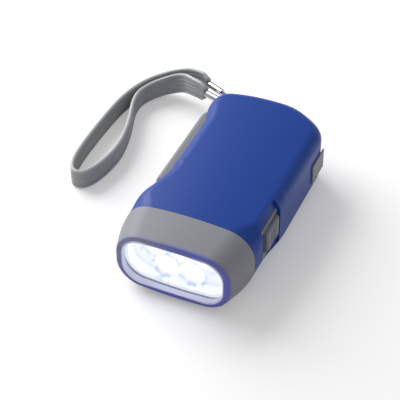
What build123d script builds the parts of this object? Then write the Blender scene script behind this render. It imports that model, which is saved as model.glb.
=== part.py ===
from build123d import *
import math
import os

os.makedirs("parts", exist_ok=True)

# Squeeze-lever dynamo torch, in millimetres.
# +Z is up, the lamp looks along -Y, the squeeze lever is on the -X side.
# The origin is on the flat rest face, near the middle of the body.

# ---------------------------------------------------------------- main sizes
total_length = 102.1
lip_y = -51.7
bezel_length = 17.3
lip_half_width = 24.2
seam_half_width = 27.9
left_wall = 21.1
right_wall = 28.6
body_top = 30.8
crown_low = -0.35
crown_radius = 160.0
parting = 15.4
wall = 2.0
grip_start = 46.0
corner_end = 28.0
join_distance = 50.0
low_corner_start = 28.0
tail_overlap = 10.0
bar_reach = 40.0
seam_corner = 12.8
top_corner = 6.0
low_corner = 6.0
rear_left_x = -23.8
bulge_start = 77.0
bulge_end = 91.0
rear_corner_x = -16.0
rear_corner_distance = 100.8
rear_slope = 0.16
rear_middle_x = 6.5
shoulder_x = 20.4
shoulder_distance = 98.0
shoulder_start = 86.0
shoulder_lean = (0.6, 0.8)

rear_y = lip_y + total_length

# ------------------------------------------------------------------ clearances
seam_clearance = 0.1
running_clearance = 0.05
press_clearance = 0.02
slide_clearance = 0.25
part_clearance = 0.3
end_play = 0.1


def from_lip(distance):
    """The y of a station at a distance behind the front lip."""
    return lip_y + distance


join_y = from_lip(join_distance)

# ------------------------------------------------------------------- lamp head
lip_low = 1.84
lip_high = 29.36
lip_corner = 11.2
lip_width = 2.7
lip_rounding = 0.9
bezel_stations = (0, 4.5, 9.5, 13.5)
lens_recess = 2.4
lens_thickness = 2.0
lens_ledge = 1.2
lens_clearance = 0.2
spigot_length = 4.0
spigot_wall = 1.5
reflector_depth = 9.5
reflector_rim = 1.6
reflector_dish = 2.2
cup_pitch = 10.9
cup_rise = 4.5
cup_mouth = 5.6
cup_foot = 3.1
cup_depth = 4.8
led_radius = 2.5
led_flange_radius = 2.9
led_flange_height = 1.0
led_length = 7.0
led_bore = 2.7
led_board_thickness = 1.6

# ---------------------------------------------------------- lever and its pivot
pivot_x = -16.5
pivot_distance = 46.0
lever_outer = -27.2
lever_inner = -19.2
lever_front = 42.6
lever_nose = 1.4
lever_rear = 94.3
lever_rear_round = 5.8
lever_low = 9.6
lever_high = 21.2
lever_gap = 0.3
lever_skin = 1.8
lever_rounding = 2.0
lever_nose_length = 10.0
hub_radius = 4.6
hub_top = 16.4
web_thickness = 3.2
pin_radius = 1.5
pin_foot = 4.0
pin_head_room = 27.0
pivot_boss_radius = 3.2
slot_front = 39.2
slot_depth = 0.8

spring_radius = 3.0
spring_wire = 0.55
spring_turns = 4
spring_pitch = 1.0
spring_leg = 11.0
spring_room = 4.2

# ------------------------------------------------------------------ gear train
pressure_angle = math.radians(25)
tooth_addendum = 0.8
tooth_dedendum = 1.05
tooth_play = 0.14
sector_module = 1.0
sector_teeth = 60
sector_teeth_before = 1
sector_teeth_after = 4
drive_pinion_teeth = 12
drive_direction = 60.0
wheel_module = 0.7
drive_wheel_teeth = 36
step_pinion_teeth = 12
step_direction = -49.0
rotor_module = 0.6
step_wheel_teeth = 36
rotor_pinion_teeth = 12
rotor_direction = -88.0
axle_radius = 1.0
axle_foot = 4.0
gear_hub_radius = 2.4
plate_low = 24.6
plate_thickness = 1.4
plate_margin = 3.2
post_radius = 2.2

drive_boss_top = 12.0
drive_boss_radius = 3.0
drive_pinion_height = 5.3
drive_wheel_low = 18.0
drive_wheel_height = 2.4
step_boss_top = 17.2
step_boss_radius = 2.6
step_pinion_low = 17.8
step_pinion_height = 2.8
step_wheel_low = 21.4
step_wheel_height = 2.0
rotor_pinion_low = 21.2
rotor_pinion_height = 2.6
flywheel_low = 18.6
flywheel_height = 1.6
flywheel_radius = 8.8
flywheel_chamfer = 0.3
rotor_boss_top = 5.6
rotor_boss_radius = 3.0
rotor_foot = 3.0

# ------------------------------------------------------------------- generator
magnet_radius = 6.0
magnet_low = 7.4
magnet_height = 7.6
rotor_hub_radius = 2.5
air_gap = 0.5
pole_thickness = 0.6
pole_plate = 0.7
pole_count = 6
pole_angle = 20.0
pole_end_gap = 0.8
can_radius = 11.2
can_wall = 0.8
can_low = 6.0
can_height = 10.0
can_bore = 4.0
bobbin_gap = 0.2
bobbin_wall = 0.6
bobbin_outer = 10.1
winding_depth = 1.8
seat_ring = 2.4

# ---------------------------------------------------------------------- switch
switch_plane = 26.4
switch_front = 25.4
switch_rear = 41.4
switch_low = 8.6
switch_high = 25.1
switch_margin = 0.35
switch_travel = 1.5
scoop_rise = 2.75
scoop_depth = 2.3
scoop_rear_depth = 1.0
scoop_rear_run = 25.0
scoop_low_run = 2.4
trim_thickness = 0.7
knob_front = 28.4
knob_rear = 40.4
knob_low = 12.6
knob_high = 22.7
knob_face = 28.9
knob_chamfer = 0.6
knob_groove_width = 0.5
knob_groove_depth = 0.3
knob_groove_pitch = 1.5
knob_groove_count = 4
knob_groove_inset = 1.2
neck_front = 32.0
neck_rear = 36.0
neck_half_height = 2.0
tip_half_width = 1.0
tip_half_height = 0.9
tip_reach = 2.0
backing_margin = 1.5

# ------------------------------------------------------------------ lever lock
lock_travel = 3.0
lock_low = 9.8
lock_high = 12.0
lock_bar_width = 2.0
lock_bar_right = 23.9
lock_bar_rear = 91.2
lock_bar_left = -16.0
lock_lug = 2.4
lock_arm_front = 81.5
lock_neck_rear = 86.0
lock_pad_front = 78.0
lock_pad_rear = 91.0
lock_pad_low = 9.0
lock_pad_high = 18.6
lock_pad_thickness = 0.6
lock_pad_rounding = 0.25
lock_guide_radius = 1.5
lock_guide_gap = 0.2
tongue_front = 82.2
tongue_width = 1.7
tongue_end = -11.0
tongue_lug = 2.2
tongue_lug_rear = 85.9

# --------------------------------------------------------- cells and electronics
cell_radius = 5.8
cell_thickness = 5.4
cell_count = 3
cell_step = 0.6
cell_left = -15.3
cell_distance = 31.5
cell_height = 10.8
holder_wall = 0.9
holder_low = 4.0
holder_high = 13.0
holder_bevel = 1.4
contact_thickness = 0.4
contact_gap = 0.1
board_left = 5.0
board_right = 24.0
board_front = 28.6
board_rear = 38.3
board_low = 11.8
board_thickness = 1.2
board_post_radius = 1.5
board_post_inset = 2.0
switch_box_left = 19.6
switch_box_right = 23.7
switch_box_front = 29.5
switch_box_rear = 38.1
switch_box_height = 4.8
switch_box_slot = 2.6
capacitor_inset = 3.4
capacitor_radius = 2.5
capacitor_height = 5.0
chip_inset = 9.6
chip_width = 5.0
chip_length = 4.0
chip_height = 1.6
resistor_row = 3.0
resistor_pitch = 2.6
resistor_count = 3
resistor_width = 1.3
resistor_length = 2.2
resistor_height = 0.9

# -------------------------------------------------------------------- fasteners
case_screw_head = 2.3
case_screw_head_height = 1.6
case_screw_shank = 1.2
case_screw_seat = 3.6
case_screw_reach = 6.5
front_screw_lift = 3.0
case_boss_radius = 2.8
case_foot_radius = 3.6
plate_screw_head = 1.7
plate_screw_head_height = 1.2
plate_screw_shank = 0.8
plate_screw_length = 6.0
cross_width = 0.6
cross_depth = 0.8

# ------------------------------------------------------------ strap and lanyard
strap_width = 10.0
strap_thickness = 1.6
bend_share = 0.45
ferrule_radius = 1.6
ferrule_length = 8.8
ferrule_chamfer = 0.2
lanyard_radius = 0.7
lanyard_height = 15.0
lanyard_pin_x = -15.0
lanyard_pin_distance = 106.0
lanyard_pin_radius = 1.0
ear_radius = 2.5
ear_thickness = 1.5
ear_root = 7.5
ear_opening = 4.0

# The lanyard loop's corners, seen from above, from ferrule to ferrule.
loop_route = [
    (-27.6, 61.73),
    (-13.325, 55.592),
    (-13.017, 53.561),
    (-14.58, 52.226),
    (-25.67, 55.74),
]
loop_bend = 1.75

# The strap's centre line between the ferrules.
strap_route = [
    (-41.2, 67.59, 15.0),
    (-49.5, 70.3, 11.0),
    (-57.5, 70.1, 7.5),
    (-64.5, 65.7, 5.6),
    (-69.3, 56.8, 5.05),
    (-71.6, 45.3, 5.05),
    (-72.2, 32.3, 5.05),
    (-72.4, 19.3, 5.05),
    (-72.1, 7.3, 5.05),
    (-71.0, -1.2, 5.05),
    (-68.4, -6.7, 5.05),
    (-63.5, -6.7, 5.05),
    (-60.2, -1.2, 5.05),
    (-58.2, 7.8, 5.05),
    (-57.6, 17.3, 5.05),
    (-59.2, 27.3, 5.05),
    (-62.0, 37.3, 5.05),
    (-65.2, 46.3, 5.05),
    (-66.2, 54.3, 5.05),
    (-62.8, 61.6, 5.6),
    (-56.5, 65.9, 7.5),
    (-49.0, 66.5, 11.0),
    (-40.9, 60.59, 15.0),
]


# =========================================================== places worked out
def stepped(start, distance, direction):
    """The point at a distance from start, in a direction in degrees from +X."""
    angle = math.radians(direction)
    return start[0] + distance * math.cos(angle), start[1] + distance * math.sin(angle)


drive_centres = sector_module * (sector_teeth + drive_pinion_teeth) / 2
step_centres = wheel_module * (drive_wheel_teeth + step_pinion_teeth) / 2
rotor_centres = rotor_module * (step_wheel_teeth + rotor_pinion_teeth) / 2

pivot = (pivot_x, from_lip(pivot_distance))
drive_place = stepped(pivot, drive_centres, drive_direction)
step_place = stepped(drive_place, step_centres, step_direction)
rotor_place = stepped(step_place, rotor_centres, rotor_direction)
lanyard_pin_place = (lanyard_pin_x, from_lip(lanyard_pin_distance))

# Each case screw's place, and how far it is lifted over the flat part of the base.
case_screw_places = [
    (-20.5, from_lip(25.2)),
    (20.5, from_lip(25.2)),
    (-17.2, from_lip(95.8)),
    (16.5, from_lip(94.2)),
]
case_screw_lifts = [front_screw_lift, front_screw_lift, 0, 0]
post_places = [
    (19.3, from_lip(78.0)),
    (-4.5, from_lip(41.0)),
    (8.0, from_lip(95.0)),
    (-8.0, from_lip(95.5)),
]
plate_corner = (17.0, from_lip(44.0))
lock_guide_places = [(-6.0, from_lip(lock_bar_rear - 1.0)), (11.5, from_lip(lock_bar_rear - 1.0))]

cell_end = cell_left + cell_count * cell_thickness
holder_left = cell_left - contact_thickness - contact_gap - holder_wall
holder_right = cell_end + contact_thickness + contact_gap + holder_wall
holder_half = cell_radius + contact_gap + holder_wall
board_top = board_low + board_thickness
plate_top = plate_low + plate_thickness
magnet_top = magnet_low + magnet_height
can_high = can_low + can_height
pole_radius = magnet_radius + air_gap
web_low = hub_top - web_thickness
axle_top = plate_top
hub_end = plate_low - end_play
reach = 2 * total_length
lower_ear = lanyard_height - ear_opening / 2 - ear_thickness
upper_ear = lanyard_height + ear_opening / 2


# ================================================================= body forms
def ease(share):
    """A smooth step from 0 to 1, flat before and after."""
    share = min(1, max(0, share))
    return share * share * (3 - 2 * share)


def crown_drop(x):
    """How far the crowned face lies from its highest line at x."""
    return crown_radius - math.sqrt(crown_radius**2 - x**2)


def section(y, left, right, low, high, low_radius, high_radius):
    """One cross-section: upright sides, crowned top and bottom, round corners."""
    with BuildSketch(Plane.XZ.offset(-y)) as outline:
        with BuildLine():
            top = ThreePointArc(
                (left, high - crown_drop(left)), (0, high), (right, high - crown_drop(right))
            )
            side = Line(top @ 1, (right, low + crown_drop(right)))
            base = ThreePointArc(side @ 1, (0, low), (left, low + crown_drop(left)))
            Line(base @ 1, top @ 0)
        make_face()
        fillet(outline.vertices().sort_by(Axis.Y)[:2], low_radius)
        fillet(outline.vertices().sort_by(Axis.Y)[-2:], high_radius)
    return outline.sketch


def waist_section(distance, inset):
    """The housing's section at a distance behind the lip, drawn in by inset."""
    share = ease((distance - bezel_length) / (grip_start - bezel_length))
    high_share = ease((distance - bezel_length) / (corner_end - bezel_length))
    low_share = ease((distance - low_corner_start) / (join_distance - low_corner_start))
    return section(
        from_lip(distance),
        -seam_half_width + (seam_half_width - left_wall) * share + inset,
        seam_half_width + (right_wall - seam_half_width) * share - inset,
        crown_low + inset,
        body_top - inset,
        seam_corner + (low_corner - seam_corner) * low_share - inset,
        seam_corner + (top_corner - seam_corner) * high_share - inset,
    )


def bezel_section(distance):
    """The bezel's outer section at a distance behind the lip."""
    share = math.sin(math.pi / 2 * distance / bezel_length)
    half_width = lip_half_width + (seam_half_width - lip_half_width) * share
    corner = lip_corner + (seam_corner - lip_corner) * share
    return section(
        from_lip(distance),
        -half_width,
        half_width,
        lip_low + (crown_low - lip_low) * share,
        lip_high + (body_top - lip_high) * share,
        corner,
        corner,
    )


def lens_section(distance, margin):
    """The lens opening's outline at a distance behind the lip, grown by margin."""
    half_width = lip_half_width - lip_width + margin
    corner = lip_corner - lip_width + margin
    return section(
        from_lip(distance),
        -half_width,
        half_width,
        lip_low + lip_width - margin,
        lip_high - lip_width + margin,
        corner,
        corner,
    )


def tail_plan(inset):
    """The housing seen from above behind the waist, with both rear corners."""
    with BuildSketch(Plane.XY.offset(crown_low - wall)) as plan:
        with BuildLine():
            left_x = -left_wall + inset
            right_x = right_wall - inset
            left = Line((left_x, join_y - tail_overlap), (left_x, from_lip(bulge_start)))
            bulge = Spline(
                left @ 1,
                (rear_left_x + inset, from_lip(bulge_end)),
                tangents=((0, 1), (0, 1)),
            )
            corner = Spline(
                bulge @ 1,
                (rear_corner_x + rear_slope * inset, from_lip(rear_corner_distance) - inset),
                tangents=((0, 1), (1, rear_slope)),
            )
            back = Spline(
                corner @ 1,
                (rear_middle_x, rear_y - inset),
                tangents=((1, rear_slope), (1, 0)),
            )
            shoulder = Spline(
                back @ 1,
                (
                    shoulder_x - shoulder_lean[0] * inset,
                    from_lip(shoulder_distance) - shoulder_lean[1] * inset,
                ),
                (right_x, from_lip(shoulder_start)),
                tangents=((1, 0), (0, -1)),
            )
            right = Line(shoulder @ 1, (right_x, join_y - tail_overlap))
            Line(right @ 1, left @ 0)
        make_face()
    return plan.sketch


def crowned_bar(inset):
    """A long bar whose top and bottom have the housing's crown."""
    with BuildPart() as bar:
        with BuildSketch(Plane.XZ.offset(-(join_y - 2 * tail_overlap))):
            with BuildLine():
                high = body_top - inset
                low = crown_low + inset
                drop = crown_drop(bar_reach)
                top = ThreePointArc((-bar_reach, high - drop), (0, high), (bar_reach, high - drop))
                side = Line(top @ 1, (bar_reach, low + drop))
                base = ThreePointArc(side @ 1, (0, low), (-bar_reach, low + drop))
                Line(base @ 1, top @ 0)
            make_face()
        extrude(amount=-total_length)
    return bar.part


def tail_form(inset):
    """The straight grip and the rounded rear end as one solid."""
    with BuildPart() as tail:
        add(tail_plan(inset))
        extrude(amount=body_top + 2 * wall)
        add(crowned_bar(inset), mode=Mode.INTERSECT)
        behind_cut = join_y - tail_overlap + wall
        rims = tail.edges().filter_by(lambda edge: edge.center().Y > behind_cut)
        rims = rims.filter_by(lambda edge: abs(edge.center().Z - parting) > parting / 2)
        fillet(rims.filter_by(lambda edge: edge.center().Z > parting), top_corner - inset)
        low_rims = tail.edges().filter_by(lambda edge: edge.center().Y > behind_cut)
        low_rims = low_rims.filter_by(lambda edge: edge.center().Z < low_corner / 2 + inset)
        fillet(low_rims, low_corner - inset)
        split(bisect_by=Plane.XZ.offset(-join_y), keep=Keep.BOTTOM)
    return tail.part


def housing_form(inset):
    """The whole housing behind the bezel as one solid, drawn in by inset."""
    stations = [bezel_length, 19.3, 22.0, 25.0, 28.0, 32.0, 37.0, 42.0, grip_start, join_distance]
    with BuildPart() as form:
        loft([waist_section(station, inset) for station in stations])
        add(tail_form(inset))
    return form.part


# ============================================================== simple solids
def upright(place, low, high, radius):
    """An upright round bar between two heights."""
    with BuildPart() as bar:
        with BuildSketch(Plane.XY.offset(low)):
            with Locations(place):
                Circle(radius)
        extrude(amount=high - low)
    return bar.part


def block(left, right, front, rear, low, high):
    """A straight block given by its six faces."""
    with BuildPart() as solid:
        with BuildSketch(Plane.XY.offset(low)):
            with Locations(((left + right) / 2, (front + rear) / 2)):
                Rectangle(right - left, rear - front)
        extrude(amount=high - low)
    return solid.part


def trimmed(solids, form):
    """Several solids as one part, cut to a form's outside."""
    with BuildPart() as union:
        for solid in solids:
            add(solid)
        add(form, mode=Mode.INTERSECT)
    return union.part


# ======================================================================= gears
def involute(angle):
    """The involute function of a pressure angle."""
    return math.tan(angle) - angle


def tooth_points(teeth, module, centre_angle):
    """One tooth's corners from root to root, anticlockwise, centred on an angle."""
    pitch = module * teeth / 2
    base = pitch * math.cos(pressure_angle)
    root = pitch - tooth_dedendum * module
    tip = pitch + tooth_addendum * module
    half_at_pitch = math.pi / (2 * teeth) - tooth_play / (4 * pitch)

    def half_angle(radius):
        return half_at_pitch + involute(pressure_angle) - involute(math.acos(base / radius))

    foot = max(base * 1.001, root * 1.001)
    flank = [(root, half_angle(foot)), (foot, half_angle(foot))]
    flank += [(pitch, half_angle(pitch)), (tip, half_angle(tip))]
    rising = [(radius, centre_angle - half) for radius, half in flank]
    falling = [(radius, centre_angle + half) for radius, half in reversed(flank)]
    return [(r * math.cos(a), r * math.sin(a)) for r, a in rising + falling]


def toothed_disc(teeth, module, first_angle, place, low, height):
    """A full spur gear with its first tooth centred on first_angle."""
    points = []
    for tooth in range(teeth):
        points += tooth_points(teeth, module, first_angle + 2 * math.pi * tooth / teeth)
    with BuildPart() as gear:
        with BuildSketch(Plane.XY.offset(low)):
            with Locations(place):
                Polygon(*points, align=None)
        extrude(amount=height)
    return gear.part


def meshed_angle(angle, teeth, other_teeth, direction):
    """The first tooth's angle on a gear that meshes with one at angle, in a direction."""
    share = ((math.radians(direction) - angle) * teeth / (2 * math.pi)) % 1
    return math.radians(direction) + math.pi - (0.5 - share) * 2 * math.pi / other_teeth


sector_phase = math.radians(drive_direction)
drive_phase = meshed_angle(sector_phase, sector_teeth, drive_pinion_teeth, drive_direction)
step_phase = meshed_angle(drive_phase, drive_wheel_teeth, step_pinion_teeth, step_direction)
rotor_phase = meshed_angle(step_phase, step_wheel_teeth, rotor_pinion_teeth, rotor_direction)


# ================================================================= the housing
outer_form = housing_form(0.0)
inner_form = housing_form(wall)
upper_half = block(-reach, reach, -reach, reach, parting, reach)
lower_half = block(-reach, reach, -reach, reach, 0, parting)

lever_slot = block(
    -reach,
    pivot_x - slot_depth,
    from_lip(slot_front),
    from_lip(lever_rear) + lever_gap,
    lever_low - lever_gap,
    lever_high + lever_gap,
)

# The switch lies in a scoop: its top facet cuts the rounded edge of the housing.
scoop_top = switch_high + switch_margin
scoop_low = switch_low - switch_margin
scoop_front = from_lip(switch_front) - switch_margin
scoop_rear = from_lip(switch_rear) + switch_margin
scoop_ends = (
    (scoop_front - scoop_depth, scoop_depth),
    (scoop_rear + scoop_depth, scoop_rear_depth),
)
with BuildPart() as switch_scoop:
    for end_y, depth in scoop_ends:
        with BuildSketch(Plane.XZ.offset(-end_y)):
            with BuildLine():
                Polyline(
                    (switch_plane, scoop_low),
                    (switch_plane, scoop_top),
                    (switch_plane - depth, scoop_top + scoop_rise),
                    (switch_plane - depth, reach),
                    (reach, reach),
                    (reach, scoop_low - reach + switch_plane),
                    (right_wall, scoop_low - scoop_low_run),
                    close=True,
                )
            make_face()
    loft(ruled=True)
    with BuildSketch(Plane.XY):
        with BuildLine():
            Polyline(
                (switch_plane - scoop_depth, scoop_front + scoop_rise),
                (switch_plane, scoop_front),
                (reach, scoop_front),
                (reach, scoop_rear + scoop_rear_run),
                (switch_plane, scoop_rear),
                (switch_plane - scoop_depth, scoop_rear + scoop_depth / 2),
                close=True,
            )
        make_face()
    extrude(amount=reach, mode=Mode.INTERSECT)

switch_backing = block(
    switch_plane - wall,
    right_wall,
    scoop_front - backing_margin,
    scoop_rear + backing_margin,
    scoop_low - scoop_low_run,
    switch_high + scoop_rise,
)
switch_window = block(
    switch_plane - wall - slide_clearance,
    switch_plane + slide_clearance,
    from_lip(neck_front) - switch_travel - slide_clearance,
    from_lip(neck_rear) + slide_clearance,
    parting - neck_half_height - slide_clearance,
    parting + neck_half_height + slide_clearance,
)
lock_window = block(
    right_wall - 2 * wall,
    right_wall + wall,
    from_lip(lock_arm_front) - lock_travel - slide_clearance,
    from_lip(lock_neck_rear) + slide_clearance,
    lock_low - slide_clearance,
    lock_high + slide_clearance,
)


def lanyard_ear(low):
    """A rounded ear on the rear wall that holds one end of the lanyard pin."""
    with BuildPart() as ear:
        with BuildSketch(Plane.XY.offset(low)):
            with Locations(lanyard_pin_place):
                Circle(ear_radius)
                with Locations((0, -ear_root / 2)):
                    Rectangle(2 * ear_radius, ear_root)
            with Locations(lanyard_pin_place):
                Circle(lanyard_pin_radius + press_clearance, mode=Mode.SUBTRACT)
        extrude(amount=ear_thickness)
        add(inner_form, mode=Mode.SUBTRACT)
    return ear.part


with BuildPart() as body_shell_top:
    add(outer_form)
    add(inner_form, mode=Mode.SUBTRACT)
    upper_bosses = [upright(place, parting, reach, case_boss_radius) for place in case_screw_places]
    upper_bosses.append(upright(pivot, lever_high + lever_gap, reach, pivot_boss_radius))
    upper_bosses.append(switch_backing)
    add(trimmed(upper_bosses, outer_form))
    add(upper_half, mode=Mode.INTERSECT)
    add(lever_slot, mode=Mode.SUBTRACT)
    add(switch_scoop.part, mode=Mode.SUBTRACT)
    add(switch_window, mode=Mode.SUBTRACT)
    for place, lift in zip(case_screw_places, case_screw_lifts):
        screw_hole = upright(
            place,
            0,
            parting + case_screw_reach + lift + end_play,
            case_screw_shank + press_clearance,
        )
        add(screw_hole, mode=Mode.SUBTRACT)
    add(upright(pivot, 0, pin_head_room, pin_radius + press_clearance), mode=Mode.SUBTRACT)
    add(lanyard_ear(upper_ear))
body_shell_top.part.label = "body_shell_top"
export_step(body_shell_top.part, "parts/body_shell_top.step")

board_post_places = [
    (x, from_lip(distance))
    for x in (board_left + board_post_inset, board_right - board_post_inset)
    for distance in (board_front + board_post_inset, board_rear - board_post_inset)
]
with BuildPart() as stator_seat:
    add(upright(rotor_place, 0, can_low, can_radius))
    add(upright(rotor_place, wall, can_low, can_radius - seat_ring), mode=Mode.SUBTRACT)

with BuildPart() as body_shell_bottom:
    add(outer_form)
    add(inner_form, mode=Mode.SUBTRACT)
    add(lower_half, mode=Mode.INTERSECT)
    lower_bosses = [upright(place, 0, parting, case_boss_radius) for place in case_screw_places]
    for place, lift in zip(case_screw_places, case_screw_lifts):
        lower_bosses.append(upright(place, 0, case_screw_seat + lift + wall, case_foot_radius))
    lower_bosses.append(upright(pivot, 0, lever_low - lever_gap, pivot_boss_radius))
    lower_bosses.append(upright(drive_place, 0, drive_boss_top, drive_boss_radius))
    lower_bosses.append(upright(step_place, 0, step_boss_top, step_boss_radius))
    lower_bosses.append(upright(rotor_place, 0, rotor_boss_top, rotor_boss_radius))
    lower_bosses += [upright(place, 0, plate_low, post_radius) for place in post_places]
    lower_bosses += [upright(place, 0, board_low, board_post_radius) for place in board_post_places]
    for place in lock_guide_places:
        lower_bosses.append(upright(place, 0, lock_low - lock_guide_gap, lock_guide_radius))
    lower_bosses.append(
        block(
            holder_left,
            holder_right,
            from_lip(cell_distance) - holder_half,
            from_lip(cell_distance) + holder_half,
            0,
            holder_low,
        )
    )
    lower_bosses.append(stator_seat.part)
    add(trimmed(lower_bosses, outer_form))
    backing_form = trimmed([switch_backing], outer_form)
    add(trimmed([backing_form], lower_half))
    add(lever_slot, mode=Mode.SUBTRACT)
    add(switch_scoop.part, mode=Mode.SUBTRACT)
    add(switch_window, mode=Mode.SUBTRACT)
    add(lock_window, mode=Mode.SUBTRACT)
    for place, lift in zip(case_screw_places, case_screw_lifts):
        head_room = upright(place, 0, case_screw_seat + lift, case_screw_head + slide_clearance)
        add(head_room, mode=Mode.SUBTRACT)
        add(upright(place, 0, parting, case_screw_shank + press_clearance), mode=Mode.SUBTRACT)
    add(upright(pivot, pin_foot, parting, pin_radius + press_clearance), mode=Mode.SUBTRACT)
    for place in (drive_place, step_place):
        add(upright(place, axle_foot, plate_low, axle_radius + press_clearance), mode=Mode.SUBTRACT)
    add(
        upright(rotor_place, rotor_foot, can_low, axle_radius + running_clearance),
        mode=Mode.SUBTRACT,
    )
    for place in post_places:
        add(
            upright(
                place,
                plate_top - plate_screw_length - end_play,
                plate_top,
                plate_screw_shank + press_clearance,
            ),
            mode=Mode.SUBTRACT,
        )
    add(lanyard_ear(lower_ear))
body_shell_bottom.part.label = "body_shell_bottom"
export_step(body_shell_bottom.part, "parts/body_shell_bottom.step")


def crossed_screw(place, head_low, head_radius, head_height, shank_low, shank_high, shank_radius,
                  slot_low):
    """A screw with a flat round head and a cross slot."""
    with BuildPart() as screw:
        add(upright(place, head_low, head_low + head_height, head_radius))
        add(upright(place, shank_low, shank_high, shank_radius))
        with BuildSketch(Plane.XY.offset(slot_low)):
            with Locations(place):
                Rectangle(2 * head_radius - cross_width, cross_width)
                Rectangle(cross_width, 2 * head_radius - cross_width)
        extrude(amount=cross_depth, mode=Mode.SUBTRACT)
    return screw.part


with BuildPart() as case_screws:
    for place, lift in zip(case_screw_places, case_screw_lifts):
        case_head_low = case_screw_seat + lift - case_screw_head_height
        add(
            crossed_screw(
                place,
                case_head_low,
                case_screw_head,
                case_screw_head_height,
                case_screw_seat + lift,
                parting + case_screw_reach + lift,
                case_screw_shank,
                case_head_low,
            )
        )
case_screws.part.label = "case_screws"
export_step(case_screws.part, "parts/case_screws.step")


# ================================================================= the lamp head
cavity_end = bezel_length + spigot_length
reflector_front = lens_recess + lens_thickness + end_play
reflector_back = reflector_front + reflector_depth
lamp_end = reflector_back + led_board_thickness + end_play
with BuildPart() as bezel:
    shoulder = bezel_length - seam_clearance
    loft([bezel_section(distance) for distance in (*bezel_stations, shoulder)])
    fillet(bezel.edges().group_by(Axis.Y)[0], lip_rounding)
    inset = wall + seam_clearance
    spigot_stations = (bezel_length - spigot_length / 2, bezel_length, cavity_end)
    loft([waist_section(distance, inset) for distance in spigot_stations])
    extrude(lens_section(0, 0), lens_recess, dir=(0, 1, 0), mode=Mode.SUBTRACT)
    lamp_room = lens_section(lens_recess, lens_ledge + lens_clearance)
    extrude(lamp_room, lamp_end - lens_recess, dir=(0, 1, 0), mode=Mode.SUBTRACT)
    bore_stations = (lamp_end - spigot_wall, bezel_length, cavity_end)
    loft(
        [waist_section(distance, inset + spigot_wall) for distance in bore_stations],
        mode=Mode.SUBTRACT,
    )
    add(block(-reach, reach, -reach, reach, 0, reach), mode=Mode.INTERSECT)
bezel.part.label = "bezel"
export_step(bezel.part, "parts/bezel.step")

with BuildPart() as lens:
    extrude(lens_section(lens_recess, lens_ledge), lens_thickness, dir=(0, 1, 0))
lens.part.label = "lens"
export_step(lens.part, "parts/lens.step")

lamp_height = (lip_low + lip_high) / 2
lamp_places = [(x, lamp_height + cup_rise) for x in (-cup_pitch, 0, cup_pitch)]
lamp_places += [(x, lamp_height - cup_rise) for x in (-cup_pitch / 2, cup_pitch / 2)]
dish_floor = reflector_front + reflector_dish

with BuildPart() as reflector:
    extrude(lens_section(reflector_front, lens_ledge), reflector_depth, dir=(0, 1, 0))
    dish_outline = lens_section(reflector_front, lens_ledge - reflector_rim)
    extrude(dish_outline, reflector_dish, dir=(0, 1, 0), mode=Mode.SUBTRACT)
    for x, z in lamp_places:
        with BuildSketch(Plane.XZ.offset(-from_lip(dish_floor))):
            with Locations((x, z)):
                Circle(cup_mouth)
        with BuildSketch(Plane.XZ.offset(-from_lip(dish_floor + cup_depth))):
            with Locations((x, z)):
                Circle(cup_foot)
        loft(mode=Mode.SUBTRACT)
    with BuildSketch(Plane.XZ.offset(-from_lip(dish_floor + cup_depth / 2))):
        with Locations(*lamp_places):
            Circle(led_bore)
    extrude(amount=-reflector_depth, mode=Mode.SUBTRACT)
    flange_depth = led_flange_height + end_play
    with BuildSketch(Plane.XZ.offset(-from_lip(reflector_back - flange_depth))):
        with Locations(*lamp_places):
            Circle(led_flange_radius + lens_clearance)
    extrude(amount=-flange_depth, mode=Mode.SUBTRACT)
reflector.part.label = "reflector"
export_step(reflector.part, "parts/reflector.step")

with BuildPart() as leds:
    with BuildSketch(Plane.XZ.offset(-from_lip(reflector_back))):
        with Locations(*lamp_places):
            Circle(led_flange_radius)
    extrude(amount=led_flange_height)
    with BuildSketch(Plane.XZ.offset(-from_lip(reflector_back))):
        with Locations(*lamp_places):
            Circle(led_radius)
    extrude(amount=led_length - led_radius)
    dome_y = from_lip(reflector_back - led_length + led_radius)
    with Locations(*[(x, dome_y, z) for x, z in lamp_places]):
        Sphere(led_radius)
leds.part.label = "leds"
export_step(leds.part, "parts/leds.step")

with BuildPart() as led_board:
    board_outline = lens_section(reflector_back, lens_ledge - reflector_rim / 2)
    extrude(board_outline, led_board_thickness, dir=(0, 1, 0))
led_board.part.label = "led_board"
export_step(led_board.part, "parts/led_board.step")


# ============================================================ lever and its pivot
def lever_plan():
    """The squeeze lever's outline from above: slanted nose, straight grip, round end."""
    with BuildSketch(Plane.XY.offset(lever_low)) as plan:
        with BuildLine():
            front = Line(
                (lever_inner, from_lip(lever_front - lever_nose)), (lever_outer, from_lip(lever_front))
            )
            grip = Line(front @ 1, (lever_outer, from_lip(lever_rear - lever_rear_round)))
            round_end = RadiusArc(
                grip @ 1,
                (lever_outer + lever_rear_round, from_lip(lever_rear)),
                lever_rear_round,
            )
            back = Line(round_end @ 1, (lever_inner, from_lip(lever_rear)))
            Line(back @ 1, front @ 0)
        make_face()
        fillet(plan.vertices().sort_by(Axis.Y)[1:2], lever_nose)
    return plan.sketch


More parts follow.
